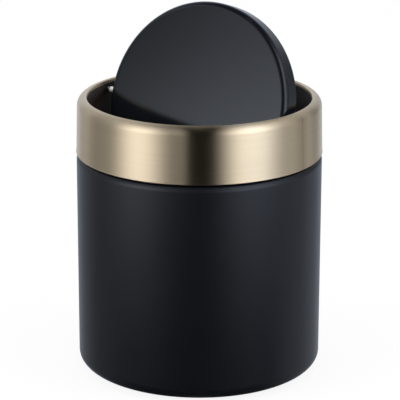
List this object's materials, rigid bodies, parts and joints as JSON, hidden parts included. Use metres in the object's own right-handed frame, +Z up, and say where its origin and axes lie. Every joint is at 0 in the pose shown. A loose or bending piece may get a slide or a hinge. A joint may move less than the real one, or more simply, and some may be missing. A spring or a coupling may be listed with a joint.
{
  "type": "swing-lid countertop bin",
  "caption": "Small round countertop bin: black steel can, brushed brass-tone ring that lifts off, and a round black lid that swings on side pins inside the ring.",
  "frame": {"origin": "centre of the round footprint, on the plane that the foot pads rest on", "axes": "+Z up along the bin's axis; the lid's pivot line runs along X; -Y is the front, towards which the open lid shows its face"},
  "size_m": [0.1208, 0.1208, 0.1811],
  "materials": {
    "black_enamel": "satin blue-black enamel on steel",
    "brass_tone_steel": "brushed round the ring, pale champagne brass tone",
    "bright_steel": "polished",
    "plain_steel": "plain rolled stainless sheet",
    "black_plastic": "moulded, fine matt grain",
    "nylon": "natural nylon",
    "black_rubber": "matt black elastomer and foam"
  },
  "bodies": {
    "bin": {"body_shell": "black_enamel", "floor_plate": "plain_steel", "base_cap": "black_plastic", "foot_pads": "black_rubber"},
    "collar": {"rim_ring": "brass_tone_steel", "ring_insert": "black_plastic", "spigot_band": "black_rubber", "pivot_pin_left": "bright_steel", "pivot_pin_right": "bright_steel", "pivot_spacer_left": "bright_steel", "pivot_spacer_right": "bright_steel"},
    "lid": {"lid_top": "black_enamel", "lid_underside": "black_enamel", "lid_carrier": "black_plastic", "carrier_tape": "black_rubber", "lid_screws": "plain_steel", "pivot_bush_left": "nylon", "pivot_bush_right": "nylon", "ballast_plate": "plain_steel", "ballast_rivets": "plain_steel"}
  },
  "joints": [
    {"name": "collar_lift", "type": "slide", "parent": "bin", "child": "collar", "axis": [0, 0, 1], "range_m": [0, 0.06]},
    {"name": "lid_swing", "type": "hinge", "parent": "collar", "child": "lid", "pos_m": [0, 0, 0.13295], "axis": [1, 0, 0], "continuous": true}
  ]
}
